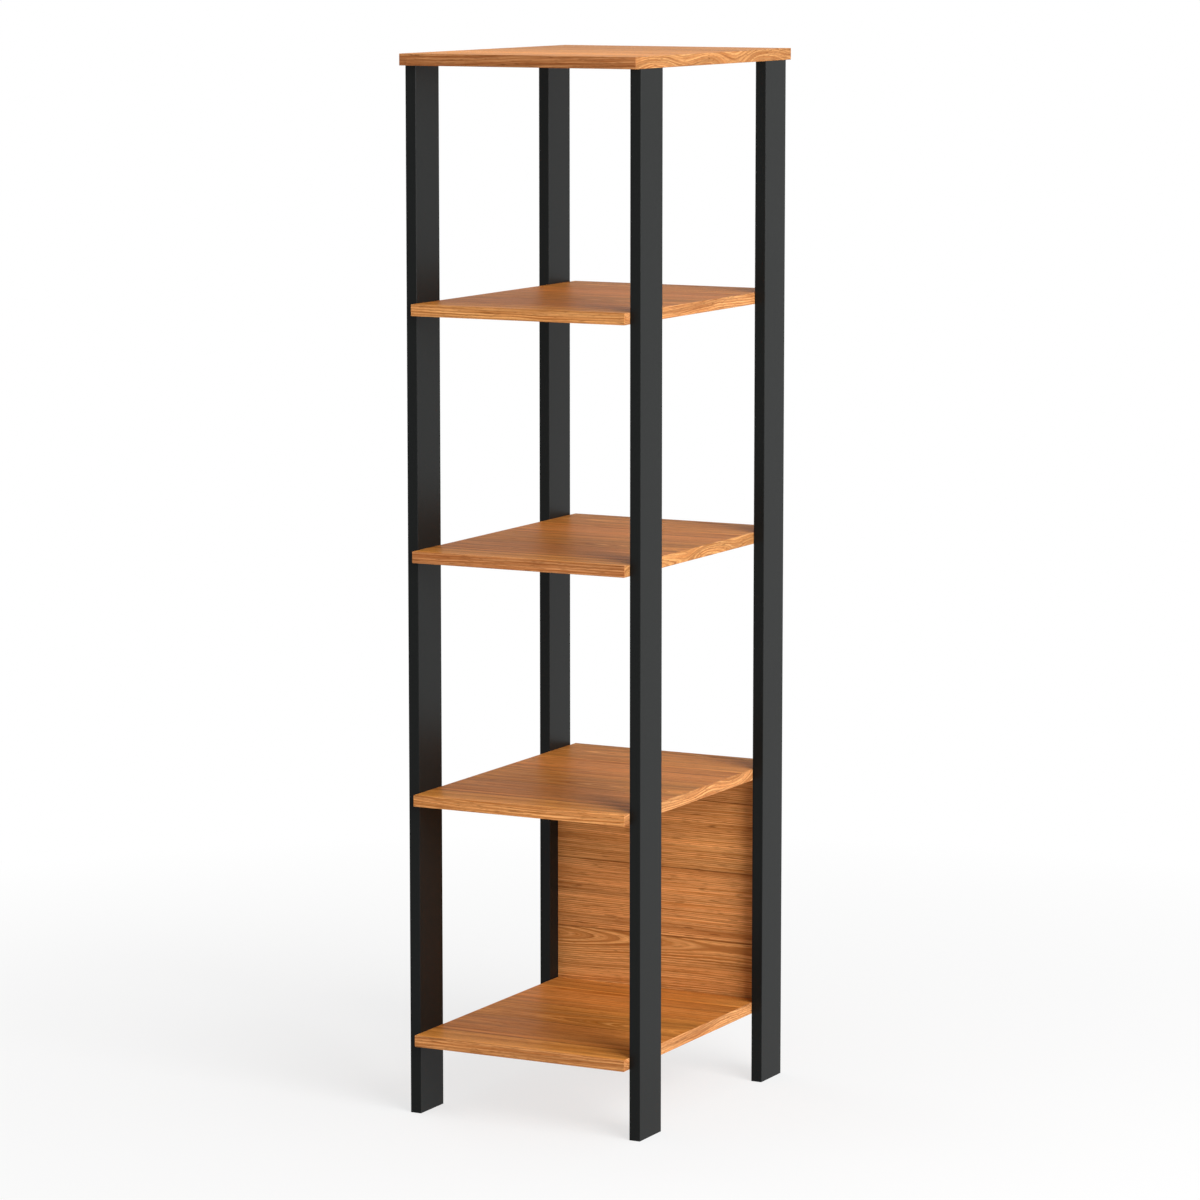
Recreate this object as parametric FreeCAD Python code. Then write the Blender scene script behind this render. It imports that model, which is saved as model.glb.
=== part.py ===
import FreeCAD, Part
import math
import os
from collections import namedtuple
from FreeCAD import Placement, Rotation, Vector

# A tall open shelving unit: four posts, four shelves between them, a top on them and a low back panel.
# X runs to the right, Y to the back and Z up; the origin is on the floor, mid footprint. Sizes in mm.

# Overall sizes
unit_width = 400.0  # over the outer faces of the posts
frame_depth = 500.0  # over the front and back edges of the posts
board_overhang = 18.0  # of the top and the shelves past the posts, front and back
toe_height = 110.0  # clear height under the bottom shelf
clear_height = 360.0  # clear height above each shelf

# Boards
post_thickness = 18.0
post_depth = 72.0
shelf_thickness = 18.0
top_thickness = 18.0
panel_thickness = 15.0

# Edge bands
band_thickness = 1.0
band_arris = 0.6  # bevel on the long corners of a band
most_bevel = 0.9  # of the band's thickness

# Places of the fasteners
fastener_pitch = 32.0  # between the two fasteners of a joint
panel_dowel_inset = 60.0  # from the panel's top and bottom edges to its dowels
hole_end_gap = 0.5  # air past the end of a fastener in its blind hole
fit_clearance = 0.05  # round a dowel, thread or cam in its bore

# Flats that stand for the round of the small turned pieces and their holes
pin_sides = 8
cam_sides = 12
cap_sides = 16
socket_sides = 6
ball_facet = 23.0  # degrees from the ball's middle to the ends of its widest facets

# Cam bolt
bolt_cover = 6.5  # post left behind the bolt's hole
thread_diameter = 6.0
shank_diameter = 7.0  # its shoulder stops on the post
neck_diameter = 4.0
head_diameter = 6.4  # ball that the cam draws in
channel_diameter = 8.0  # bore for the bolt in the board's end

# Cam drum
cam_diameter = 15.0
cam_distance = 24.0  # from the post to the drum's axis
cam_wall = 3.0  # wall that holds the ball when the cam is locked
cam_throw = 0.7  # offset of the pocket, which draws the bolt in
cam_floor = 1.0  # under the pocket
cam_turn = 210.0  # degrees from the open to the locked position
slot_clearance = 0.3  # round the bolt's neck and head in the drum
drive_length = 6.0  # arms of the cross recess
drive_width = 1.2
drive_depth = 2.5
drive_angle = 45.0  # degrees from the bolt to the cross

# Dowels
dowel_diameter = 8.0
dowel_length = 30.0
dowel_cover = 7.5  # board left behind the dowel's shallow hole
dowel_chamfer = 1.0

# Screws that hold the top, and the caps over them
screw_length = 50.0
screw_head_diameter = 10.0
screw_head_height = 3.0
screw_shank_diameter = 7.0
screw_core_diameter = 5.0
screw_tip_diameter = 2.5
screw_point = 3.0
screw_socket = 4.0  # across the flats
screw_socket_depth = 3.0
cap_diameter = 12.0
cap_thickness = 2.0

# Sizes that follow
board_depth = frame_depth + 2 * board_overhang
shelf_width = unit_width - 2 * post_thickness
inner_x = shelf_width / 2
post_x = (unit_width - post_thickness) / 2
post_y = (frame_depth - post_depth) / 2
shelf_names = ("bottom_shelf", "lower_shelf", "middle_shelf", "upper_shelf")
panel_name = "lower_back_panel"
shelf_pitch = clear_height + shelf_thickness
shelf_z = {name: toe_height + i * shelf_pitch for i, name in enumerate(shelf_names)}
post_height = toe_height + len(shelf_names) * shelf_pitch
unit_height = post_height + top_thickness
panel_z = shelf_z["bottom_shelf"] + shelf_thickness
head_radius = head_diameter / 2
cam_radius = cam_diameter / 2
slot_half = neck_diameter / 2 + slot_clearance
pocket_half = head_radius + slot_clearance
cam_reach = pocket_half + cam_floor  # drum past the bolt's axis, away from the face it is set in
pocket_radius = cam_radius - cam_wall + cam_throw
thread_length = post_thickness - bolt_cover - hole_end_gap
dowel_in_post = post_thickness - dowel_cover - hole_end_gap
dowel_in_top = top_thickness - dowel_cover - hole_end_gap
side_dowel_ends = (-dowel_in_post, dowel_length - dowel_in_post)  # from the post's inner face
top_dowel_ends = (dowel_in_top - dowel_length, dowel_in_top)  # from the post's top end
cut_overrun = 2 * band_thickness  # a drill starts this far outside the surface

right = Vector(1, 0, 0)
back = Vector(0, 1, 0)
up = Vector(0, 0, 1)

posts = {
    f"{y_name}_{x_name}_post": (x_sign, y_sign)
    for y_name, y_sign in (("front", -1), ("rear", 1))
    for x_name, x_sign in (("left", -1), ("right", 1))
}

# A place where a fastener crosses from a post's inner face into a board
Seat = namedtuple("Seat", "post board start inward")


def placed(shape, place, x_axis, z_axis):
    """A copy of a shape with its origin moved to a place and its X and Z axes turned."""
    turn = Rotation(x_axis, z_axis.cross(x_axis), z_axis, "XYZ")
    moved = shape.copy()
    moved.Placement = Placement(place, turn).multiply(shape.Placement)
    return moved


def block(x_size, y_size, z_size, centre_x, centre_y, bottom_z):
    """A plain board, centred in plan."""
    corner = Vector(centre_x - x_size / 2, centre_y - y_size / 2, bottom_z)
    return Part.makeBox(x_size, y_size, z_size, corner)


def flat_face(corners):
    """A face inside straight edges through its corners."""
    return Part.Face(Part.makePolygon(corners + corners[:1]))


def turned(outline, sides):
    """A solid about X from (x, radius) points, with flat sides in place of the round."""
    rings = []
    for x, radius in outline:
        spoke = Vector(x, radius, 0)
        rings.append([Rotation(right, 360 * i / sides).multVec(spoke) for i in range(sides)])
    faces = [flat_face(rings[0]), flat_face(rings[-1])]
    for near, far in zip(rings, rings[1:]):
        for i in range(sides):
            faces.append(flat_face([near[i - 1], near[i], far[i], far[i - 1]]))
    return Part.makeSolid(Part.makeShell(faces))


def rod(radius, start, end, sides):
    """A plain bar or drill along X."""
    return turned([(start, radius), (end, radius)], sides)


def edge_band(length, width, centre, along, outward):
    """A strip glued to a sawn edge: flat at the back, with its two outer long corners bevelled."""
    bevel = min(band_arris, most_bevel * band_thickness)
    half = width / 2
    upper = [(0, half), (bevel - band_thickness, half), (-band_thickness, half - bevel)]
    lower = [(y, -z) for y, z in reversed(upper)]
    section = flat_face([Vector(-length / 2, y, z) for y, z in upper + lower])
    return placed(section.extrude(right * length), centre, along, along.cross(outward * -1))


def cam_bolt():
    """A bolt along X: thread in the post, shank and neck in the board, ball head in the cam."""
    thread = thread_diameter / 2
    neck = neck_diameter / 2
    neck_start = cam_distance - cam_radius - slot_clearance
    wall_face = cam_distance - cam_radius + cam_wall
    ball_x = wall_face + math.sqrt(head_radius**2 - slot_half**2) + slot_clearance
    ball_end = math.sqrt(head_radius**2 - neck**2)
    widest_x = head_radius * math.sin(math.radians(ball_facet))
    widest = head_radius * math.cos(math.radians(ball_facet))
    outline = [(-thread_length, thread), (0, thread), (0, shank_diameter / 2)]
    outline += [(neck_start, shank_diameter / 2), (neck_start, neck)]
    outline += [(ball_x - ball_end, neck), (ball_x - widest_x, widest)]
    outline += [(ball_x + widest_x, widest), (ball_x + ball_end, neck)]
    return turned(outline, pin_sides)


def cam_drum():
    """A drum about Z: off-centre pocket, mouth that lets the ball in, slot for the neck, cross drive."""
    axis = Vector(cam_distance, 0, 0)
    face = shelf_thickness / 2
    drum = placed(rod(cam_radius, -cam_reach, face, cam_sides), axis, up, right)
    pocket = rod(pocket_radius, -pocket_half, pocket_half, cam_sides)
    pocket = placed(pocket, axis + right * cam_throw, up, right)
    past_ball = math.degrees(head_radius / (cam_radius - cam_wall))
    slot = Part.makeCylinder(cam_diameter, 2 * slot_half, Vector(0, 0, -slot_half), up, cam_turn + past_ball)
    slot = placed(slot, axis, Rotation(up, 180 - past_ball).multVec(right), up)
    mouth = block(cam_diameter, 2 * pocket_half, 2 * pocket_half, cam_diameter / 2, 0, -pocket_half)
    mouth = placed(mouth, axis, Rotation(up, 180 + cam_turn).multVec(right), up)
    cross = []
    for angle in (drive_angle, drive_angle + 90):
        arm = block(drive_length, drive_width, drive_depth, 0, 0, face - drive_depth)
        cross.append(placed(arm, axis, Rotation(up, angle).multVec(right), up))
    return drum.cut([pocket, slot, mouth] + cross)


def dowel(start, end):
    """A fluted wooden peg along X with chamfered ends."""
    radius = dowel_diameter / 2
    tip = radius - dowel_chamfer
    outline = [(start, tip), (start + dowel_chamfer, radius), (end - dowel_chamfer, radius), (end, tip)]
    return turned(outline, pin_sides)


def dowel_drill(start, end):
    """The hole for a dowel, with air past both of its ends."""
    return rod(dowel_diameter / 2 + fit_clearance, start - hole_end_gap, end + hole_end_gap, pin_sides)


def screw_form(clearance, tip_gap):
    """A countersunk screw along X with its head at the origin, or the hole for it."""
    head = screw_head_diameter / 2 + clearance
    shank = screw_shank_diameter / 2 + clearance
    core = screw_core_diameter / 2 + clearance
    tip = screw_tip_diameter / 2 + clearance
    shank_end = top_thickness - cap_thickness
    end = screw_length + tip_gap
    outline = [(0, head), (screw_head_height, shank), (shank_end, shank), (shank_end, core)]
    outline += [(end - screw_point, core), (end, tip)]
    return turned(outline, pin_sides)


def top_screw():
    """The screw with a hexagon socket in its head."""
    corner = screw_socket / 2 / math.cos(math.pi / socket_sides)
    socket = rod(corner, 0, screw_socket_depth, socket_sides)
    return screw_form(0, 0).cut(socket)


def screw_cap():
    """A flush disc pressed into the recess over the screw."""
    return rod(cap_diameter / 2, -cap_thickness, 0, cap_sides)


def shelf_seats(to_edge):
    """One place on each post for each shelf, so far from the post's middle towards the board's edge."""
    seats = []
    for shelf in shelf_names:
        middle_z = shelf_z[shelf] + shelf_thickness / 2
        for post, (side, end) in posts.items():
            start = Vector(side * inner_x, end * (post_y + to_edge), middle_z)
            seats.append(Seat(post, shelf, start, right * -side))
    return seats


def panel_seats():
    """Two places on each rear post for the back panel."""
    seats = []
    for post in ("rear_left_post", "rear_right_post"):
        side = posts[post][0]
        for z in (panel_z + panel_dowel_inset, panel_z + clear_height - panel_dowel_inset):
            seats.append(Seat(post, panel_name, Vector(side * inner_x, post_y, z), right * -side))
    return seats


def set_in(shape, seats):
    """Copies of a fastener or drill made along X, at each seat, with its Z axis down."""
    return [placed(shape, seat.start, seat.inward, up * -1) for seat in seats]


def post_drills(name, bolts, dowels):
    """Blind holes in the inner face of a post."""
    hole_end = -thread_length - hole_end_gap
    thread_hole = rod(thread_diameter / 2 + fit_clearance, hole_end, cut_overrun, pin_sides)
    drills = set_in(thread_hole, [seat for seat in bolts if seat.post == name])
    return drills + set_in(dowel_drill(*side_dowel_ends), [seat for seat in dowels if seat.post == name])


def board_drills(bolts, dowels):
    """Holes in a board: the channel and the cam's bore for each bolt, and the dowels' holes."""
    channel = rod(channel_diameter / 2, -cut_overrun, cam_distance, pin_sides)
    bore = rod(cam_radius + fit_clearance, -cam_reach, shelf_thickness / 2 + cut_overrun, cam_sides)
    bore = placed(bore, right * cam_distance, up, right)
    return set_in(channel, bolts) + set_in(bore, bolts) + set_in(dowel_drill(*side_dowel_ends), dowels)


def top_places():
    """For each post, the axis of its screw and those of its two dowels, on the post's top end."""
    screws = []
    dowels = []
    for x_sign, y_sign in posts.values():
        middle = Vector(x_sign * post_x, y_sign * post_y, post_height)
        screws.append(middle)
        dowels += [middle + back * (side * fastener_pitch / 2) for side in (-1, 1)]
    return screws, dowels


def top_drills():
    """Holes through the top and into the post ends."""
    screws, dowels = top_places()
    to_head = up * (top_thickness - cap_thickness)
    hole = screw_form(fit_clearance, hole_end_gap)
    recess = rod(cap_diameter / 2 + fit_clearance, -cap_thickness - cut_overrun, 0, cap_sides)
    peg = dowel_drill(*top_dowel_ends)
    drills = [placed(hole, place + to_head, up * -1, right) for place in screws]
    drills += [placed(recess, place + to_head, up * -1, right) for place in screws]
    drills += [placed(peg, place, up, right) for place in dowels]
    return drills


def post_core(name, drills):
    """A post between its edge bands, from its foot band to the top."""
    x_sign, y_sign = posts[name]
    core_depth = post_depth - 2 * band_thickness
    core_height = post_height - band_thickness
    core = block(post_thickness, core_depth, core_height, x_sign * post_x, y_sign * post_y, band_thickness)
    return core.cut(drills)


def post_bands(name):
    """The bands on the front and back edges of a post, down to the floor."""
    x_sign, y_sign = posts[name]
    bands = []
    for side in (-1, 1):
        glued_y = y_sign * post_y + side * (post_depth / 2 - band_thickness)
        middle = Vector(x_sign * post_x, glued_y, post_height / 2)
        bands.append(edge_band(post_height, post_thickness, middle, up, back * side))
    return bands


def foot_bands():
    """The bands on the feet, between the bands of the edges."""
    depth = post_depth - 2 * band_thickness
    foot = block(post_thickness, depth, band_thickness, 0, 0, 0)
    return [placed(foot, Vector(x * post_x, y * post_y, 0), right, up) for x, y in posts.values()]


def board_core(width, thickness, bottom_z, drills):
    """A shelf or the top, inside its edge bands."""
    core_width = width - 2 * band_thickness
    core_depth = board_depth - 2 * band_thickness
    return block(core_width, core_depth, thickness, 0, 0, bottom_z).cut(drills)


def long_band(width, thickness, bottom_z, side):
    """The band along the front (side -1) or the back (side 1) of a board."""
    middle = Vector(0, side * (board_depth / 2 - band_thickness), bottom_z + thickness / 2)
    return edge_band(width, thickness, middle, right, back * side)


def end_bands(width, thickness, bottom_z, drills):
    """The bands on the two ends of a board, between the long ones, drilled with it."""
    length = board_depth - 2 * band_thickness
    bands = []
    for side in (-1, 1):
        middle = Vector(side * (width / 2 - band_thickness), 0, bottom_z + thickness / 2)
        bands.append(edge_band(length, thickness, middle, back, right * side).cut(drills))
    return bands


def export(name, solids):
    """One file for each node, which holds one solid or a group of like solids."""
    shape = solids[0] if len(solids) == 1 else Part.makeCompound(solids)
    shape.exportStep(f"parts/{name}.step")


def export_posts(bolts, dowels, drills_from_above):
    """The posts and their bands."""
    for name in posts:
        drills = post_drills(name, bolts, dowels) + drills_from_above
        export(name, [post_core(name, drills)])
        export(f"{name}_edge_bands", post_bands(name))
    export("foot_bands", foot_bands())


def export_board(name, width, thickness, bottom_z, drills):
    """A shelf or the top, and its bands."""
    export(name, [board_core(width, thickness, bottom_z, drills)])
    export(f"{name}_front_band", [long_band(width, thickness, bottom_z, -1)])
    export(f"{name}_back_band", [long_band(width, thickness, bottom_z, 1)])
    export(f"{name}_end_bands", end_bands(width, thickness, bottom_z, drills))


def export_shelf(name, bolts, dowels):
    """A shelf with its bands, bolts, cams and dowels."""
    export_board(name, shelf_width, shelf_thickness, shelf_z[name], board_drills(bolts, dowels))
    export(f"{name}_cam_bolts", set_in(cam_bolt(), bolts))
    export(f"{name}_cams", set_in(cam_drum(), bolts))
    export(f"{name}_dowels", set_in(dowel(*side_dowel_ends), dowels))


def export_panel(dowels):
    """The back panel and its dowels; its edges are all hidden and carry no bands."""
    panel = block(shelf_width, panel_thickness, clear_height, 0, post_y, panel_z)
    export(panel_name, [panel.cut(board_drills([], dowels))])
    export(f"{panel_name}_dowels", set_in(dowel(*side_dowel_ends), dowels))


def export_top_fasteners():
    """The screws, caps and dowels that hold the top to the posts."""
    screws, dowels = top_places()
    to_head = up * (top_thickness - cap_thickness)
    peg = dowel(*top_dowel_ends)
    export("top_screws", [placed(top_screw(), place + to_head, up * -1, right) for place in screws])
    export("top_screw_caps", [placed(screw_cap(), place + to_head, up * -1, right) for place in screws])
    export("top_dowels", [placed(peg, place, up, right) for place in dowels])


def main():
    os.makedirs("parts", exist_ok=True)
    bolts = shelf_seats(-fastener_pitch / 2)
    dowels = shelf_seats(fastener_pitch / 2)
    panel_dowels = panel_seats()
    from_above = top_drills()
    export_posts(bolts, dowels + panel_dowels, from_above)
    export_board("top_board", unit_width, top_thickness, post_height, from_above)
    export_top_fasteners()
    for name in shelf_names:
        own_bolts = [seat for seat in bolts if seat.board == name]
        own_dowels = [seat for seat in dowels if seat.board == name]
        export_shelf(name, own_bolts, own_dowels)
    export_panel(panel_dowels)
    print(f"{unit_width:g} x {board_depth:g} x {unit_height:g} mm")


main()
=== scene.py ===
import math
import bmesh
import bpy
from mathutils import Matrix, Vector


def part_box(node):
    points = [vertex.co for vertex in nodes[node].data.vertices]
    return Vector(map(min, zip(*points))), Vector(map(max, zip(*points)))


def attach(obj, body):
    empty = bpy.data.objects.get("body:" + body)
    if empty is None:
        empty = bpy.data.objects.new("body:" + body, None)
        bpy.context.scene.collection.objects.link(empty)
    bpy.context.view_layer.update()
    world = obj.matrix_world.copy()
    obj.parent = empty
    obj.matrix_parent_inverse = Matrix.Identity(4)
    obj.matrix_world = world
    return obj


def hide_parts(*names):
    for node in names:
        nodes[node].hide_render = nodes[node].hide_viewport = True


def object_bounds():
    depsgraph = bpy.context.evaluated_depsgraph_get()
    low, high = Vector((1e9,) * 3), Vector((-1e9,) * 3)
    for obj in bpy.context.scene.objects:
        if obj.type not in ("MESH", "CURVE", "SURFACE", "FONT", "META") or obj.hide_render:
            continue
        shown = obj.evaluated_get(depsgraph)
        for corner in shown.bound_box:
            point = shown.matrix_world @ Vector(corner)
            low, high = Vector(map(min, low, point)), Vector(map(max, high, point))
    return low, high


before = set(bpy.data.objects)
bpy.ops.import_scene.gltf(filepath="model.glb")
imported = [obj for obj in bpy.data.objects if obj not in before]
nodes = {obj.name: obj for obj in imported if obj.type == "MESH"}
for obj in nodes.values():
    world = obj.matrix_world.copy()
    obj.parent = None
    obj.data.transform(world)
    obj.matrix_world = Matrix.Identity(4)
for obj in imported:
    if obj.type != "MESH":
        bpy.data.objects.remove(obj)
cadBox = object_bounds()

mm = 0.001
xAxis, zAxis = Vector((1, 0, 0)), Vector((0, 0, 1))
shelfNames = ["bottom_shelf", "lower_shelf", "middle_shelf", "upper_shelf"]
postNames = ["front_left_post", "front_right_post", "rear_left_post", "rear_right_post"]
print("frame loaded:", len(nodes), "nodes")


def linear(hexColour):  # sRGB hex to the linear colour that sockets take
    parts = [int(hexColour[i:i + 2], 16) / 255 for i in (1, 3, 5)]
    return [p / 12.92 if p <= 0.04045 else ((p + 0.055) / 1.055) ** 2.4 for p in parts] + [1]


# Inputs hold plain values, or sockets to link, by name or number. A Map Range moves its value, 0, from the
# range 1 to 2 into the range 3 to 4; unset, both are 0 to 1. A colour Mix goes from 6 to 7 by its share, 0.
def addNode(tree, kind, inputs=None, out=0, **settings):
    node = tree.nodes.new("ShaderNode" + kind)
    for name, value in settings.items():
        setattr(node, name, value)
    for name, value in (inputs or {}).items():
        if isinstance(value, bpy.types.NodeSocket):
            tree.links.new(value, node.inputs[name])
        else:
            node.inputs[name].default_value = value
    return node.outputs[out] if node.outputs else None


def newMaterial(name):
    material = bpy.data.materials.new(name)
    material.use_nodes = True
    material.node_tree.nodes.clear()
    return material, material.node_tree


def cover(nodeNames, material):  # a CAD node keeps its mesh and gets only the finish
    for name in nodeNames:
        nodes[name].data.materials.clear()
        nodes[name].data.materials.append(material)


# Oak print under matt melamine, pressed on particleboard. The eye gets planks of orange oak with long
# fine streaks, growth rings, short dark pores and a weak, soft gloss at low angles.
oakPrint = {
    "pale": "#DDA062", "body": "#B06F39", "late": "#8E5428", "pore": "#643917",
    "roughness": (0.38, 0.5), "gloss": 0.018, "ior": 1.5,
    "emboss": 0.05, "embossStrength": 0.6,  # emboss in mm
    "log": (3560, 700, 700),  # mm, planks are drawn from all over a log of this size
    "noiseRoughness": 0.6, "fibreShare": 0.5,
    # how far each mark covers the ground
    "lateCover": 0.6, "poreCover": 0.75, "fleckCover": 0.55, "jointCover": 0.85, "brokenJoint": 0.51,
    # noise at which each layer begins, and at which it is full
    "streakRange": (0.6, 0.88), "poreRange": (0.53, 0.68), "fleckRange": (0.74, 0.82),
    "breakRange": (0.35, 0.55), "swayRange": (0.25, 0.75), "shadeRange": (0.3, 0.7),
    # share of a ring over which the late wood darkens, and over which the pores grow fewer
    "lateRange": (0.35, 1.0), "earlyRange": (0.2, 0.7), "latePores": 0.35,
}

# Layers give length and width in mm, and detail. Real pores are 0.3 mm wide and are drawn coarser to show.
# Heart is the range about a plank's middle in which the heart of the tree may lie, depth how deep it lies
# under the face, sway how far that changes along the plank and bend how far the rings waver, all in mm.
shelfSheet = {
    "grain": "x", "planks": "y", "plankWidth": 113.5, "jointWidth": 2.6,
    "edge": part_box("bottom_shelf_front_band")[0].y / mm, "firstPlank": 61,  # mm from the edge to a joint
    "layers": {
        "bend": (400, 80, 2), "sway": (900, None, 0), "shade": (700, 16, 2), "streak": (420, 1.9, 3),
        "fibre": (120, 0.9, 2), "pore": (26, 0.9, 2), "fleck": (32, 2.6, 0),
    },
    "ringSpacing": 3.0, "heart": 260, "depth": 12, "sway": 26, "bend": 5,
    "shade": 0.3, "plankTone": 0.1, "plankHue": 1.1,  # hues in degrees
    "seed": 511, "value": 1.08, "saturation": 1.06, "hue": -0.9,
}
# Painted light: the top's value is raised above the shelves' so that the whole board renders as if lit more
# from above.
topSheet = {
    **shelfSheet, "plankTone": 0.15, "plankHue": 0.5,
    "seed": 191, "value": 1.32, "saturation": 1.03, "hue": 0,
}
# Partly painted light: the panel's value is raised to lighten it against the shade of the bay it stands in;
# the rest is the print's own tone.
panelSheet = {
    **shelfSheet, "planks": "z", "edge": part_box("lower_back_panel")[0].z / mm, "firstPlank": 86.5,
    "layers": {**shelfSheet["layers"], "sway": (700, None, 0)},
    "shade": 0.23, "plankTone": 0.06, "plankHue": 0.7,
    "seed": 7257, "value": 1.12, "saturation": 1.0, "hue": 0,
}
longBandStrip = {
    **shelfSheet, "planks": "z", "plankWidth": 18, "jointWidth": 0, "firstPlank": 0,
    "layers": {
        "bend": (160, 40, 2), "sway": (600, None, 0), "shade": (400, 9, 2), "streak": (200, 2.6, 4),
        "fibre": (70, 1.0, 2), "pore": (16, 0.9, 2), "fleck": (32, 2.6, 0),
    },
    "ringSpacing": 4, "heart": 160, "depth": 14, "sway": 14, "bend": 3,
    "shade": 0.2, "plankTone": 0, "plankHue": 0.5, "seed": 32, "saturation": 1.0,
}
endBandStrip = {
    **longBandStrip, "grain": "y",
    "layers": {
        "bend": (140, 30, 2), "sway": (280, None, 1), "shade": (300, 9, 2), "streak": (140, 2.0, 4),
        "fibre": (60, 1.0, 2), "pore": (12, 0.9, 2), "fleck": (32, 2.6, 0),
    },
    "ringSpacing": 3, "heart": 70, "depth": 16, "sway": 24, "bend": 4, "seed": 53, "saturation": 0.97,
}
# Tone, and hue in degrees, of each board's long edges and of its ends, set strip by strip
stripTones = {
    "bottom_shelf": ((0.98, -1.7), (1.13, -0.6)), "lower_shelf": ((1.15, -0.5), (0.99, 0)),
    "middle_shelf": ((0.9, -2.4), (1.0, 1.2)), "upper_shelf": ((1.1, 0), (0.95, -0.5)),
    "top_board": ((0.69, -2.7), (0.85, 0)),
}
seedStep = 10  # from one board's strips to the next


def drawPlanks(tree, sheet):  # gives the place across a plank, its three draws, and its spot in the log
    place = addNode(tree, "TexCoord", out="Object")
    if sheet["grain"] == "y":  # turned so that the print runs along the strip
        place = addNode(tree, "Mapping", {"Vector": place, "Rotation": (0, 0, math.pi / 2)})
    place = addNode(tree, "VectorMath", {0: place, 1: (1 / mm,) * 3}, operation="MULTIPLY")
    axes = addNode(tree, "SeparateXYZ", {0: place}).node.outputs
    width, firstJoint = sheet["plankWidth"], sheet["edge"] + sheet["firstPlank"]
    across = axes["xyz".index(sheet["planks"])]
    across = addNode(tree, "Math", {0: across, 1: firstJoint}, operation="SUBTRACT")
    plank = addNode(tree, "Math", {0: across, 1: width}, operation="DIVIDE")
    plank = addNode(tree, "Math", {0: plank}, operation="FLOOR")
    local = addNode(tree, "Math", {0: across, 1: width}, operation="FLOORED_MODULO")
    plankSeed = addNode(tree, "CombineXYZ", {0: plank, 2: sheet["seed"]})
    draw = addNode(tree, "TexWhiteNoise", {0: plankSeed}, out="Color", noise_dimensions="3D")
    draws = addNode(tree, "SeparateColor", {0: draw}).node.outputs
    shift = addNode(tree, "VectorMath", {0: draw, 1: oakPrint["log"]}, operation="MULTIPLY")
    spot = addNode(tree, "VectorMath", {0: place, 1: shift}, operation="ADD")
    return local, draws, spot


def drawLayer(tree, sheet, layer, spot):
    length, breadth, detail = sheet["layers"][layer]
    thin = 1 / breadth if breadth else 0  # none: the same across the plank
    spot = addNode(tree, "VectorMath", {0: spot, 1: (1 / length, thin, thin)}, operation="MULTIPLY")
    noise = {"Vector": spot, "Scale": 1, "Detail": detail, "Roughness": oakPrint["noiseRoughness"]}
    return addNode(tree, "TexNoise", noise)


def drawRings(tree, sheet, local, draws, spot):  # gives the distance from the heart of the tree
    middle, half = sheet["plankWidth"] / 2, sheet["heart"] / 2
    heart = addNode(tree, "MapRange", {0: draws[0], 3: middle - half, 4: middle + half})
    fromHeart = addNode(tree, "Math", {0: local, 1: heart}, operation="SUBTRACT")
    start, end = oakPrint["swayRange"]
    shallow, deep = sheet["depth"] - sheet["sway"], sheet["depth"] + sheet["sway"]
    depth = {0: drawLayer(tree, sheet, "sway", spot), 1: start, 2: end, 3: shallow, 4: deep}
    radius = addNode(tree, "CombineXYZ", {0: fromHeart, 1: addNode(tree, "MapRange", depth)})
    radius = addNode(tree, "VectorMath", {0: radius}, out="Value", operation="LENGTH")
    waver = {0: drawLayer(tree, sheet, "bend", spot), 1: 2 * sheet["bend"], 2: radius}
    return addNode(tree, "Math", waver, operation="MULTIPLY_ADD")


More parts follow.
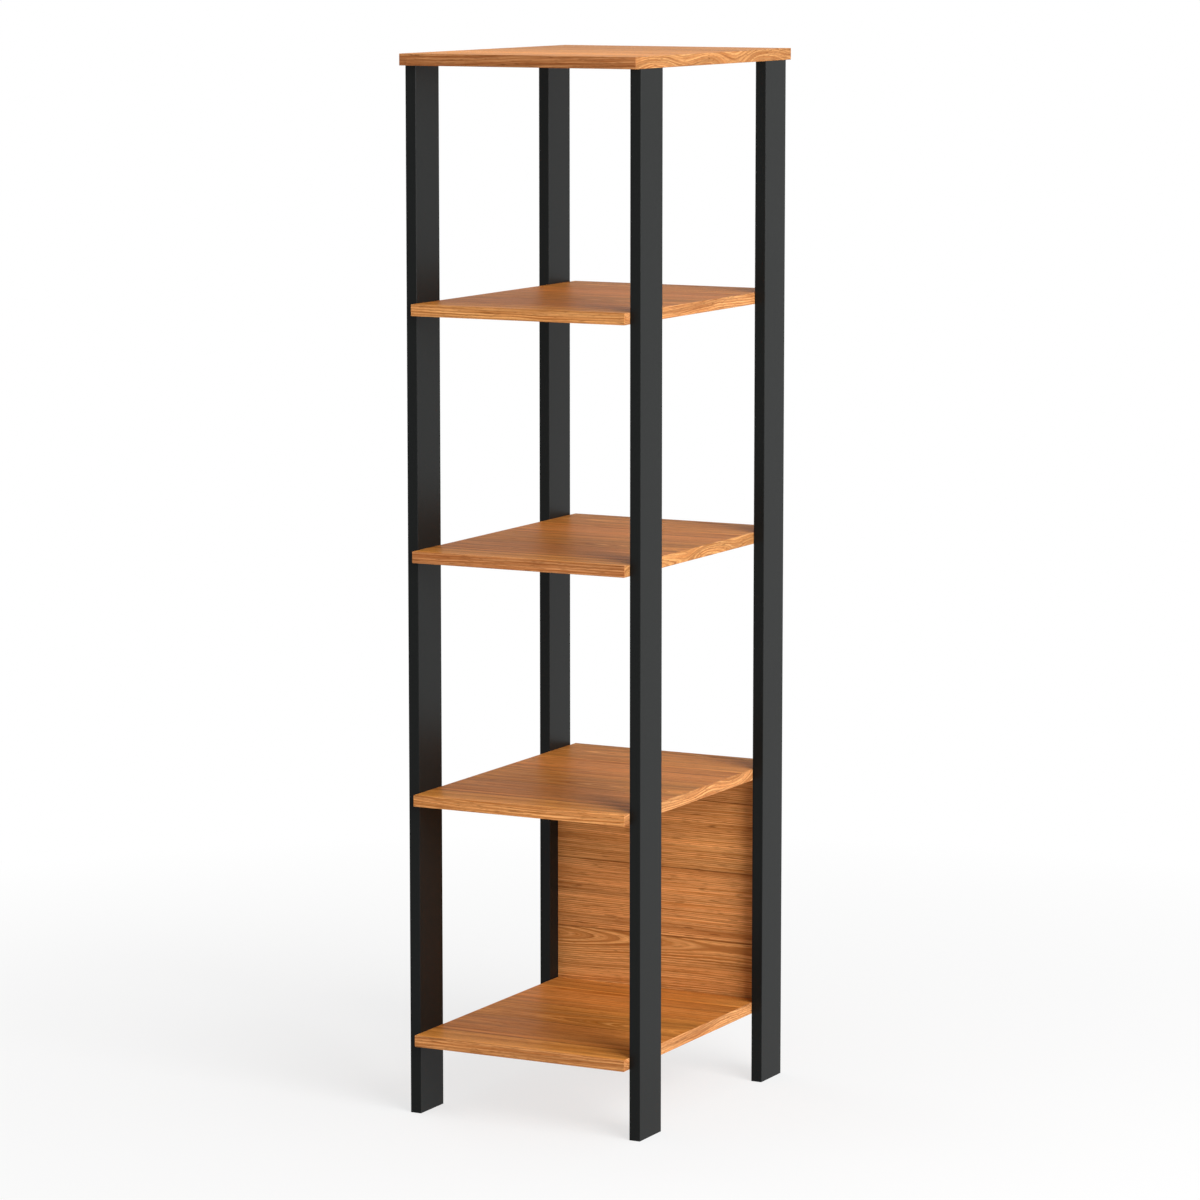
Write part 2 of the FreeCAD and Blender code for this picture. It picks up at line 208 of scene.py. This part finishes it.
def oakPrintMaterial(name, sheet):
    look = oakPrint
    material, tree = newMaterial(name)
    local, draws, spot = drawPlanks(tree, sheet)
    radius = drawRings(tree, sheet, local, draws, spot)
    along = addNode(tree, "SeparateXYZ", {0: spot})
    onRing = addNode(tree, "CombineXYZ", {0: along, 1: radius})  # the long lines follow the rings
    layers = {layer: drawLayer(tree, sheet, layer, onRing) for layer in ("shade", "streak", "fibre")}
    layers.update({layer: drawLayer(tree, sheet, layer, spot) for layer in ("pore", "fleck")})
    ring = addNode(tree, "Math", {0: radius, 1: sheet["ringSpacing"]}, operation="DIVIDE")
    ring = addNode(tree, "Math", {0: ring}, operation="FRACT")

    # ground: pale wood, brown streaks and late wood
    pale, body, lateWood, dark = (linear(look[k]) for k in ("pale", "body", "late", "pore"))
    streak = {0: layers["fibre"], 1: look["fibreShare"], 2: layers["streak"]}
    streak = addNode(tree, "Math", streak, operation="MULTIPLY_ADD")
    start, end = look["streakRange"]
    streak = addNode(tree, "MapRange", {0: streak, 1: start, 2: end})
    colour = addNode(tree, "Mix", {0: streak, 6: pale, 7: body}, out=2, data_type="RGBA")
    start, end = look["lateRange"]
    late = {0: ring, 1: start, 2: end, 4: look["lateCover"]}
    late = addNode(tree, "MapRange", late, interpolation_type="SMOOTHSTEP")
    colour = addNode(tree, "Mix", {0: late, 6: colour, 7: lateWood}, out=2, data_type="RGBA")

    # dark marks: pores, most of them in the early wood, flecks, and joints between planks
    start, end = look["earlyRange"]
    early = addNode(tree, "MapRange", {0: ring, 1: start, 2: end, 3: 1.0, 4: look["latePores"]})
    start, end = look["poreRange"]
    pore = addNode(tree, "MapRange", {0: layers["pore"], 1: start, 2: end, 4: look["poreCover"]})
    pore = addNode(tree, "Math", {0: pore, 1: early}, operation="MULTIPLY")
    start, end = look["fleckRange"]
    fleck = addNode(tree, "MapRange", {0: layers["fleck"], 1: start, 2: end, 4: look["fleckCover"]})
    marks = [pore, fleck]
    if sheet["jointWidth"]:  # fainter where pores are few
        joint = {0: local, 1: sheet["jointWidth"], 2: sheet["jointWidth"] / 2}
        start, end = look["breakRange"]
        broken = {0: layers["pore"], 1: start, 2: end, 3: look["brokenJoint"], 4: look["jointCover"]}
        joint = {0: addNode(tree, "MapRange", joint), 1: addNode(tree, "MapRange", broken)}
        marks.append(addNode(tree, "Math", joint, operation="MULTIPLY"))
    for mark in marks:
        colour = addNode(tree, "Mix", {0: mark, 6: colour, 7: dark}, out=2, data_type="RGBA")

    # each plank has its own tone and hue
    tone = addNode(tree, "MapRange", {0: draws[1], 3: 1 - sheet["plankTone"], 4: 1 + sheet["plankTone"]})
    start, end = look["shadeRange"]
    shade = {0: layers["shade"], 1: start, 2: end, 3: 1 - sheet["shade"], 4: 1 + sheet["shade"]}
    value = addNode(tree, "Math", {0: addNode(tree, "MapRange", shade), 1: tone}, operation="MULTIPLY")
    # The sheet's value sets the tone of the whole print; in the top's and the panel's sheets it also holds
    # painted light.
    value = addNode(tree, "Math", {0: value, 1: sheet["value"]}, operation="MULTIPLY")
    lowest, highest = sheet["hue"] - sheet["plankHue"], sheet["hue"] + sheet["plankHue"]
    hue = {0: draws[2], 3: 0.5 + lowest / 360, 4: 0.5 + highest / 360}  # 0.5 leaves the hue as it is
    hue = addNode(tree, "MapRange", hue)
    tint = {"Hue": hue, "Saturation": sheet["saturation"], "Value": value, "Color": colour}
    colour = addNode(tree, "HueSaturation", tint)

    smoothest, roughest = look["roughness"]
    rough = addNode(tree, "MapRange", {0: layers["streak"], 3: smoothest, 4: roughest})
    bump = {"Strength": look["embossStrength"], "Distance": look["emboss"] * mm, "Height": pore}
    shader = addNode(tree, "BsdfPrincipled", {
        "Base Color": colour, "Roughness": rough, "IOR": look["ior"],
        "Specular IOR Level": look["gloss"], "Normal": addNode(tree, "Bump", bump, invert=True),
    })
    addNode(tree, "OutputMaterial", {"Surface": shader})
    return material


cover(shelfNames, oakPrintMaterial("oakPrintShelf", shelfSheet))
cover(["top_board"], oakPrintMaterial("oakPrintTop", topSheet))
cover(["lower_back_panel"], oakPrintMaterial("oakPrintPanel", panelSheet))
strips = {"Long": (longBandStrip, ["_front_band", "_back_band"]), "End": (endBandStrip, ["_end_bands"])}
for step, (board, tones) in enumerate(stripTones.items()):
    for (kind, (strip, bands)), (value, hue) in zip(strips.items(), tones):
        roll = {
            **strip, "edge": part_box(board)[0].z / mm, "seed": strip["seed"] + seedStep * step,
            "value": value, "hue": hue,
        }
        cover([board + band for band in bands], oakPrintMaterial(f"oakPrint{kind}Band.{board}", roll))
print("oak print done")

# Charcoal melamine, pressed with a fine pebble. The eye gets a matt near-black, greyer at a low angle.
charcoal = {
    "dark": "#101212", "light": "#151716", "pebble": 1.6,  # mm, coarser than the real 0.4 mm to show
    "detail": 2, "roughness": (0.26, 0.38), "gloss": 0.1, "ior": 1.5,
    "emboss": 0.02, "embossStrength": 0.5,  # emboss in mm
}


def charcoalMaterial(name):
    look = charcoal
    material, tree = newMaterial(name)
    place = addNode(tree, "TexCoord", out="Object")
    pebble = {"Vector": place, "Scale": 1 / (look["pebble"] * mm), "Detail": look["detail"]}
    pebble = addNode(tree, "TexNoise", pebble)
    colour = {0: pebble, 6: linear(look["dark"]), 7: linear(look["light"])}
    smoothest, roughest = look["roughness"]
    rough = addNode(tree, "MapRange", {0: pebble, 3: smoothest, 4: roughest})
    bump = {"Strength": look["embossStrength"], "Distance": look["emboss"] * mm, "Height": pebble}
    shader = addNode(tree, "BsdfPrincipled", {
        "Base Color": addNode(tree, "Mix", colour, out=2, data_type="RGBA"),
        "Roughness": rough, "IOR": look["ior"],
        "Specular IOR Level": look["gloss"], "Normal": addNode(tree, "Bump", bump),
    })
    addNode(tree, "OutputMaterial", {"Surface": shader})
    return material


postBands = [post + "_edge_bands" for post in postNames] + ["foot_bands"]
cover(postNames + postBands, charcoalMaterial("charcoalMelamine"))
print("charcoal done")

# Zinc die-casting for the cams, zinc-plated steel for bolts and screws: pale grey, satin, faintly mottled.
fittings = {
    "zinc": "#A9ABAD", "steel": "#C4C3BD", "mottle": 2.5, "detail": 3,  # mottle in mm
    "tone": (0.9, 1.1), "roughness": (0.28, 0.44),
}


def metalMaterial(name, hexColour):
    look = fittings
    material, tree = newMaterial(name)
    place = addNode(tree, "TexCoord", out="Object")
    mottle = {"Vector": place, "Scale": 1 / (look["mottle"] * mm), "Detail": look["detail"]}
    mottle = addNode(tree, "TexNoise", mottle)
    darkest, palest = look["tone"]
    tone = addNode(tree, "MapRange", {0: mottle, 3: darkest, 4: palest})
    smoothest, roughest = look["roughness"]
    rough = addNode(tree, "MapRange", {0: mottle, 3: smoothest, 4: roughest})
    shader = addNode(tree, "BsdfPrincipled", {
        "Base Color": addNode(tree, "HueSaturation", {"Value": tone, "Color": linear(hexColour)}),
        "Roughness": rough, "Metallic": 1.0,
    })
    addNode(tree, "OutputMaterial", {"Surface": shader})
    return material


# Beech dowels, milled with flutes: pale, with short fine flecks. Caps are moulded plastic in oak's tone.
smallParts = {
    "beech": "#D2B48C", "beechFleck": "#B08A5C", "beechRoughness": 0.6,
    "cap": "#C58A50", "capFleck": "#AE733C", "capRoughness": 0.45,
    "fleckLength": 4, "fleckWidth": 0.8, "detail": 2,  # sizes in mm
    "fleckRange": (0.45, 0.7), "ior": 1.5,
}


def fleckedMaterial(name, stuff, grain):  # stuff is beech or cap, grain the axis along which flecks lie
    look = smallParts
    material, tree = newMaterial(name)
    place = addNode(tree, "TexCoord", out="Object")
    spacing = [1 / (look["fleckLength" if axis == grain else "fleckWidth"] * mm) for axis in "xyz"]
    place = addNode(tree, "Mapping", {"Vector": place, "Scale": spacing})
    flecks = addNode(tree, "TexNoise", {"Vector": place, "Scale": 1, "Detail": look["detail"]})
    start, end = look["fleckRange"]
    share = addNode(tree, "MapRange", {0: flecks, 1: start, 2: end})
    colour = {0: share, 6: linear(look[stuff]), 7: linear(look[stuff + "Fleck"])}
    shader = addNode(tree, "BsdfPrincipled", {
        "Base Color": addNode(tree, "Mix", colour, out=2, data_type="RGBA"),
        "Roughness": look[stuff + "Roughness"], "IOR": look["ior"],
    })
    addNode(tree, "OutputMaterial", {"Surface": shader})
    return material


zincDieCast = metalMaterial("zincDieCast", fittings["zinc"])
zincPlated = metalMaterial("zincPlatedSteel", fittings["steel"])
beechAcross = fleckedMaterial("beechMilled", "beech", "x")
beechUpright = fleckedMaterial("beechMilledUpright", "beech", "z")
capPlastic = fleckedMaterial("capPlasticMoulded", "cap", "x")

# Fittings are turned: rings of points about X, in mm, then copied to their seats
turning = {
    "ridge": ((0, 0), (0.5, 0), (0.72, 1), (0.8, 1)),  # a thread's corners: share of pitch, share of height
    "join": 0.001, "shortest": 0.01,  # mm: nearer points become one, shorter edges are closed
    "flat": 1, "sharp": 35,  # degrees: flatter faces become one, steeper edges stay sharp
}


def meshFrom(form, name):
    mesh = bpy.data.meshes.new(name)
    form.to_mesh(mesh)
    form.free()
    return mesh


def ringPoint(x, reach, angle):
    return x, reach * math.cos(angle), reach * math.sin(angle)


def ringRow(x, radius, sides):  # radius may be a function of the angle
    angles = [2 * math.pi * step / sides for step in range(sides)]
    return [ringPoint(x, radius(angle) if callable(radius) else radius, angle) for angle in angles]


def plainRows(outline, sides):
    return [ringRow(x, radius, sides) for x, radius in outline], 0


def threadRows(look, start, end):  # a row for each corner of the ridge, climbing one pitch in a turn
    core, ridge = look["core"] / 2, (look["thread"] - look["core"]) / 2
    rows = []
    for lap in range(-1, math.ceil((end - start) / look["pitch"]) + 2):
        for share, height in turning["ridge"]:
            row = []
            for step in range(look["sides"]):
                turn = step / look["sides"]
                x = min(max(start + look["pitch"] * (lap + share + turn), start), end)
                runOut = min(1, 2 * min(x - start, end - x) / look["pitch"])  # over half a pitch
                row.append(ringPoint(x, core + ridge * height * runOut, 2 * math.pi * turn))
            rows.append(row)
    return rows, len(turning["ridge"])


def turnedMesh(name, sections):  # a section is its rows, and how many rows it climbs in a turn
    form = bmesh.new()
    ends = []
    for rows, climb in sections:
        points = [[form.verts.new(p) for p in row] for row in rows]
        for k in range(len(rows) - 1 - climb):
            for j in range(len(rows[k])):
                row, step = (k, j + 1) if j + 1 < len(rows[k]) else (k + climb, 0)
                form.faces.new((points[k][j], points[row][step], points[row + 1][step], points[k + 1][j]))
        ends += [points[0], points[-1]]
    form.faces.new(ends[0])
    form.faces.new(ends[-1])
    bmesh.ops.remove_doubles(form, verts=form.verts, dist=turning["join"])
    bmesh.ops.recalc_face_normals(form, faces=form.faces)
    return meshFrom(form, name)


def turnTo(along, face):  # along takes a fitting's X, face its Z
    return Matrix((along, face.cross(along), face)).transposed().to_4x4()


def seat(place, along, face):
    return Matrix.Translation(place) @ turnTo(along, face) @ Matrix.Scale(mm, 4)


def setIn(name, mesh, seats, node, material):  # one piece holds a node's whole set
    form = bmesh.new()
    for matrix in seats:
        single = mesh.copy()
        single.transform(matrix)
        form.from_mesh(single)
        bpy.data.meshes.remove(single)
    whole = meshFrom(form, name)
    whole.shade_smooth()
    whole.set_sharp_from_angle(angle=math.radians(turning["sharp"]))
    whole.materials.append(material)
    piece = bpy.data.objects.new(name, whole)
    bpy.context.scene.collection.objects.link(piece)
    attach(piece, "root")
    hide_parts(node)


def sideSeats(x, yPlaces, z):  # pointing inwards from the left and the right
    places = [(side, y) for side in (-1, 1) for y in yPlaces]
    return [seat(Vector((side * x, y, z)), -side * xAxis, -zAxis) for side, y in places]


# Cam bolt: coarse wood thread, shoulder, neck and ball head; diameters and lengths in mm
camBolt = {
    "thread": 6.0, "core": 4.2, "pitch": 2.5, "point": 1.0, "shank": 7.0, "neck": 4.0, "ball": 6.4,
    "arris": 0.3, "ballRings": 10, "sides": 20,
}
# Cam: a drum with an off-centre pocket, a mouth for the ball, a slot for the neck and a cross drive
cam = {
    "distance": 24.0, "drum": 14.5, "bore": 15.0, "wall": 3.0, "throw": 0.7, "floor": 1.0,  # mm
    "play": 0.3, "driveLength": 6.0, "driveWidth": 1.2, "driveDepth": 2.5, "arris": 0.4,  # mm
    "turn": 210, "driveAngle": 45,  # degrees from open to locked, and of the cross
    "sides": 48,
}
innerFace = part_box("bottom_shelf_end_bands")[1].x


def camBoltMesh():
    look = camBolt
    ball, neck, shank, core = (look[k] / 2 for k in ("ball", "neck", "shank", "core"))
    arris, sides = look["arris"], look["sides"]
    tip = (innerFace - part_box("bottom_shelf_cam_bolts")[1].x) / mm
    threadStart = tip + look["point"]
    slotHalf = neck + cam["play"]
    neckStart = cam["distance"] - cam["bore"] / 2 - cam["play"]
    ballAt = neckStart + 2 * cam["play"] + cam["wall"] + math.sqrt(ball**2 - slotHalf**2)
    neckAngle = math.acos(neck / ball)  # from the ball's widest ring to the neck
    point = [(tip, core - look["point"]), (threadStart, core)]
    body = [(0, core), (0, shank - arris), (arris, shank)]
    body += [(neckStart - arris, shank), (neckStart, shank - arris), (neckStart, neck)]
    for step in range(look["ballRings"] + 1):
        angle = neckAngle * (2 * step / look["ballRings"] - 1)
        body.append((ballAt + ball * math.sin(angle), ball * math.cos(angle)))
    thread = threadRows(look, threadStart, 0)
    return turnedMesh("camBolt", [plainRows(point, sides), thread, plainRows(body, sides)])


def prismMesh(corners, low, high):  # corners in the drum's plane, low and high along its axis
    form = bmesh.new()
    floor = [form.verts.new((x, y, low)) for x, y in corners]
    roof = [form.verts.new((x, y, high)) for x, y in corners]
    form.faces.new(floor)
    form.faces.new(roof)
    for i in range(len(corners)):
        form.faces.new((floor[i - 1], floor[i], roof[i], roof[i - 1]))
    bmesh.ops.recalc_face_normals(form, faces=form.faces)
    return meshFrom(form, "camCutter")


def barCorners(start, end, width, angle):  # a straight bar through the drum's axis, angle in degrees
    turn = Matrix.Rotation(math.radians(angle), 2)
    corners = ((start, -width / 2), (end, -width / 2), (end, width / 2), (start, width / 2))
    return [turn @ Vector(c) + Vector((cam["distance"], 0)) for c in corners]


def arcCorners(centre, radius, start, end, count):  # angles in degrees
    angles = [math.radians(start + (end - start) * i / count) for i in range(count + 1)]
    return [(centre + radius * math.cos(a), radius * math.sin(a)) for a in angles]


def cutOut(mesh, toolMeshes):  # takes the tools' room out of the mesh, then clears the slivers
    block = bpy.data.objects.new("camDrum", mesh)
    tools = [bpy.data.objects.new("camCutter", toolMesh) for toolMesh in toolMeshes]
    for piece in [block] + tools:
        bpy.context.scene.collection.objects.link(piece)
    for tool in tools:
        cut = block.modifiers.new("cut", "BOOLEAN")
        cut.operation = "DIFFERENCE"
        cut.solver = "EXACT"
        cut.object = tool
    done = bpy.data.meshes.new_from_object(block.evaluated_get(bpy.context.evaluated_depsgraph_get()))
    for piece in [block] + tools:
        bpy.data.objects.remove(piece)
    form = bmesh.new()
    form.from_mesh(done)
    flat = math.radians(turning["flat"])
    bmesh.ops.dissolve_limit(form, angle_limit=flat, verts=form.verts, edges=form.edges)
    bmesh.ops.triangulate(form, faces=form.faces)
    bmesh.ops.dissolve_degenerate(form, dist=turning["shortest"], edges=form.edges)
    form.to_mesh(done)
    form.free()
    return done


def camMesh():
    look = cam
    drum, bore, pocketRadius = look["drum"] / 2, look["bore"] / 2, look["bore"] / 2 - look["wall"]
    distance, arris, sides = look["distance"], look["arris"], look["sides"]
    ball = camBolt["ball"] / 2
    pocketHalf, slotHalf = ball + look["play"], camBolt["neck"] / 2 + look["play"]
    shelfBottom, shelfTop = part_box("bottom_shelf")
    face = (shelfTop.z - shelfBottom.z) / 2 / mm  # from the bolt's axis to the shelf's underside
    inner = -pocketHalf - look["floor"]
    outline = [(inner, drum - arris), (inner + arris, drum), (face - arris, drum), (face, drum - arris)]
    mesh = turnedMesh("camDrum", [plainRows(outline, sides)])
    mesh.transform(Matrix.Translation((distance, 0, 0)) @ turnTo(zAxis, xAxis))

    lastAngle = 360 - 360 / sides
    pocket = arcCorners(distance + look["throw"], pocketRadius + look["throw"], 0, lastAngle, sides - 1)
    pastBall = math.degrees(ball / pocketRadius)
    slot = arcCorners(distance, 2 * bore, 180 - pastBall, 180 + look["turn"], sides // 2)
    slot.append((distance, 0))
    mouth = barCorners(0, 2 * bore, 2 * pocketHalf, 180 + look["turn"])
    hollows = ((pocket, pocketHalf), (slot, slotHalf), (mouth, pocketHalf))
    tools = [prismMesh(corners, -half, half) for corners, half in hollows]
    for angle in (look["driveAngle"], look["driveAngle"] + 90):
        arm = barCorners(-look["driveLength"] / 2, look["driveLength"] / 2, look["driveWidth"], angle)
        tools.append(prismMesh(arm, face - look["driveDepth"], face + look["driveDepth"]))
    return cutOut(mesh, tools)


# Dowel: beech peg with milled flutes, in mm
dowel = {
    "diameter": 8.0, "length": 30.0, "chamfer": 1.0, "flutes": 16, "fluteDepth": 0.35, "fluteSides": 4,
    "topSpacing": 32.0,  # between the two dowels in a post's upper end
}


def dowelMesh():
    look = dowel
    radius, length, chamfer = look["diameter"] / 2, look["length"], look["chamfer"]
    tip = radius - chamfer

    def fluted(angle):
        return radius - look["fluteDepth"] * (1 - math.cos(look["flutes"] * angle)) / 2

    outline = [(0, tip), (chamfer, fluted), (length - chamfer, fluted), (length, tip)]
    return turnedMesh("dowel", [plainRows(outline, look["flutes"] * look["fluteSides"])])


# Screw through the top: flat countersunk head with a hexagon socket, smooth shank, coarse thread; mm
topScrew = {
    "length": 50.0, "head": 10.0, "headHeight": 3.0, "shank": 7.0, "shankEnd": 16.0,
    "thread": 7.0, "core": 5.0, "pitch": 3.0, "point": 3.0, "tip": 2.5,
    "socket": 4.0, "socketDepth": 3.0, "arris": 0.2, "sides": 24,
}


def topScrewMesh():
    look = topScrew
    head, shank, core = look["head"] / 2, look["shank"] / 2, look["core"] / 2
    arris, sides, sixth = look["arris"], look["sides"], math.pi / 3

    def hexagon(angle):
        return look["socket"] / 2 / math.cos((angle + sixth / 2) % sixth - sixth / 2)

    threadStart = look["shankEnd"] + shank - core
    threadEnd = look["length"] - look["point"]
    body = [(look["socketDepth"], hexagon), (0, hexagon), (0, head - arris), (arris, head)]
    body += [(look["headHeight"], shank), (look["shankEnd"], shank), (threadStart, core)]
    point = [(threadEnd, core), (look["length"], look["tip"] / 2)]
    thread = threadRows(look, threadStart, threadEnd)
    return turnedMesh("topScrew", [plainRows(body, sides), thread, plainRows(point, sides)])


# Cap over the screw: a flush disc with a moulded, rounded rim; mm
screwCap = {"diameter": 11.8, "thickness": 2.0, "rim": 0.5, "rimRings": 5, "sides": 48}


def screwCapMesh():
    look = screwCap
    radius, rim = look["diameter"] / 2, look["rim"]
    outline = [(look["thickness"], radius)]
    for step in range(look["rimRings"] + 1):
        angle = math.pi / 2 * step / look["rimRings"]
        outline.append((rim - rim * math.sin(angle), radius - rim + rim * math.cos(angle)))
    return turnedMesh("screwCap", [plainRows(outline, look["sides"])])


boltForm, camForm, dowelForm = camBoltMesh(), camMesh(), dowelMesh()
dowelRadius = dowel["diameter"] / 2 * mm
for shelf in shelfNames:
    low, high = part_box(shelf)
    middle = (low.z + high.z) / 2
    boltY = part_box(shelf + "_cam_bolts")[1].y - camBolt["shank"] / 2 * mm
    boltSeats = sideSeats(innerFace, (-boltY, boltY), middle)
    setIn("camBolts." + shelf, boltForm, boltSeats, shelf + "_cam_bolts", zincPlated)
    setIn("cams." + shelf, camForm, boltSeats, shelf + "_cams", zincDieCast)
    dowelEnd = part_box(shelf + "_dowels")[1]
    dowelY = dowelEnd.y - dowelRadius
    dowelSeats = sideSeats(dowelEnd.x, (-dowelY, dowelY), middle)
    setIn("dowels." + shelf, dowelForm, dowelSeats, shelf + "_dowels", beechAcross)

low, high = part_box("lower_back_panel_dowels")
panelY = (low.y + high.y) / 2
panelSeats = []
for dowelZ in (low.z + dowelRadius, high.z - dowelRadius):
    panelSeats += sideSeats(high.x, (panelY,), dowelZ)
setIn("dowels.lower_back_panel", dowelForm, panelSeats, "lower_back_panel_dowels", beechAcross)


def topSeats(node, radius, z, along):  # one at each corner of the top
    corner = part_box(node)[1]
    places = [(x * (corner.x - radius), y * (corner.y - radius), z) for x in (-1, 1) for y in (-1, 1)]
    return [seat(Vector(place), along, xAxis) for place in places]


screwTop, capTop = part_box("top_screws")[1].z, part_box("top_screw_caps")[1].z
screwSeats = topSeats("top_screws", topScrew["head"] / 2 * mm, screwTop, -zAxis)
setIn("topScrews", topScrewMesh(), screwSeats, "top_screws", zincPlated)
capSeats = [Matrix.Translation((0, 0, capTop - screwTop)) @ s for s in screwSeats]
setIn("topScrewCaps", screwCapMesh(), capSeats, "top_screw_caps", capPlastic)
spacing = dowel["topSpacing"] * mm
outerSeats = topSeats("top_dowels", dowelRadius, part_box("top_dowels")[0].z, zAxis)
innerSeats = [Matrix.Translation((0, -math.copysign(spacing, s.translation.y), 0)) @ s for s in outerSeats]
setIn("topDowels", dowelForm, outerSeats + innerSeats, "top_dowels", beechUpright)
print("fittings done")

# Studio: pale floor, even fill and four softboxes, the strongest at the right
studio = {
    "floor": "#E6E6E6", "white": "#FFFFFF", "floorSize": 40,  # metres
    "shadowKept": 0.3, "fadeFrom": 0.5, "fadeTo": 2.2,  # share of the shadow, and metres over which it fades
    "fill": 0.35,  # even light from all round
}
softboxes = {  # metres, watts
    "rightSoftbox": {"place": (4.2, -2.1, 2.5), "size": 3.4, "power": 320},
    "topSoftbox": {"place": (2.3, -0.4, 3.6), "size": 2.0, "power": 21},
    "leftSoftbox": {"place": (-3.9, 1.8, 1.6), "size": 2.6, "power": 45},
    "overheadSoftbox": {"place": (0.1, 0.1, 4.4), "size": 1.6, "power": 19},
}


def whiteFor(tree):  # 1 for rays that show the background, 0 for rays that carry light
    path = addNode(tree, "LightPath").node.outputs
    seen = {0: path["Is Camera Ray"], 1: path["Is Glossy Ray"]}
    seen = {0: addNode(tree, "Math", seen, operation="MAXIMUM"), 1: path["Is Transmission Ray"]}
    return addNode(tree, "Math", seen, operation="MAXIMUM")


def buildFloor():
    look = studio
    half = look["floorSize"] / 2
    corners = [(-half, -half, 0), (half, -half, 0), (half, half, 0), (-half, half, 0)]
    mesh = bpy.data.meshes.new("studioFloor")
    mesh.from_pydata(corners, [], [(0, 1, 2, 3)])
    floor = bpy.data.objects.new("studioFloor", mesh)
    bpy.context.scene.collection.objects.link(floor)
    # Matt floor paint, rolled: plain pale grey that takes the shadow and fades to the white backdrop
    material, tree = newMaterial("paintedFloor")
    place = addNode(tree, "TexCoord", out="Object")
    reach = addNode(tree, "VectorMath", {0: place}, out="Value", operation="LENGTH")
    fade = {0: reach, 1: look["fadeFrom"], 2: look["fadeTo"], 3: 1 - look["shadowKept"]}
    fade = {0: addNode(tree, "MapRange", fade), 1: whiteFor(tree)}
    share = addNode(tree, "Math", fade, operation="MULTIPLY")
    paint = addNode(tree, "BsdfDiffuse", {"Color": linear(look["floor"])})
    glow = addNode(tree, "Emission", {"Color": linear(look["white"]), "Strength": 1})
    mixed = addNode(tree, "MixShader", {0: share, 1: paint, 2: glow})
    addNode(tree, "OutputMaterial", {"Surface": mixed})
    mesh.materials.append(material)


def buildBackdrop():
    white = linear(studio["white"])
    world = bpy.data.worlds.new("studioWorld")
    bpy.context.scene.world = world
    world.use_nodes = True
    tree = world.node_tree
    tree.nodes.clear()
    fill = addNode(tree, "Background", {"Color": white, "Strength": studio["fill"]})
    backdrop = addNode(tree, "Background", {"Color": white, "Strength": 1})
    mixed = addNode(tree, "MixShader", {0: whiteFor(tree), 1: fill, 2: backdrop})
    addNode(tree, "OutputWorld", {"Surface": mixed})


def hangSoftboxes():  # each turned to the middle of the unit
    middle = Vector((0, 0, (cadBox[0][2] + cadBox[1][2]) / 2))
    for name, softbox in softboxes.items():
        lamp = bpy.data.lights.new(name, "AREA")
        lamp.size = softbox["size"]
        lamp.energy = softbox["power"]
        light = bpy.data.objects.new(name, lamp)
        light.location = softbox["place"]
        light.rotation_euler = (middle - light.location).to_track_quat("-Z", "Y").to_euler()
        bpy.context.scene.collection.objects.link(light)


buildFloor()
buildBackdrop()
hangSoftboxes()
print("studio done")

# Camera, fitted to the edges in the photograph
camera = {  # metres, degrees, mm
    "place": (3.4836, -6.7070, 1.8558), "tiltDown": 8.047, "turn": 27.433, "lens": 146.65, "sensor": 36,
}
cameraData = bpy.data.cameras.new("photoCamera")
cameraData.lens = camera["lens"]
cameraData.sensor_width = camera["sensor"]
photoCamera = bpy.data.objects.new("photoCamera", cameraData)
photoCamera.location = camera["place"]
photoCamera.rotation_euler = (math.radians(90 - camera["tiltDown"]), 0, math.radians(camera["turn"]))
bpy.context.scene.collection.objects.link(photoCamera)
bpy.context.scene.camera = photoCamera
bpy.context.scene.view_settings.view_transform = "Standard"
print("camera done")
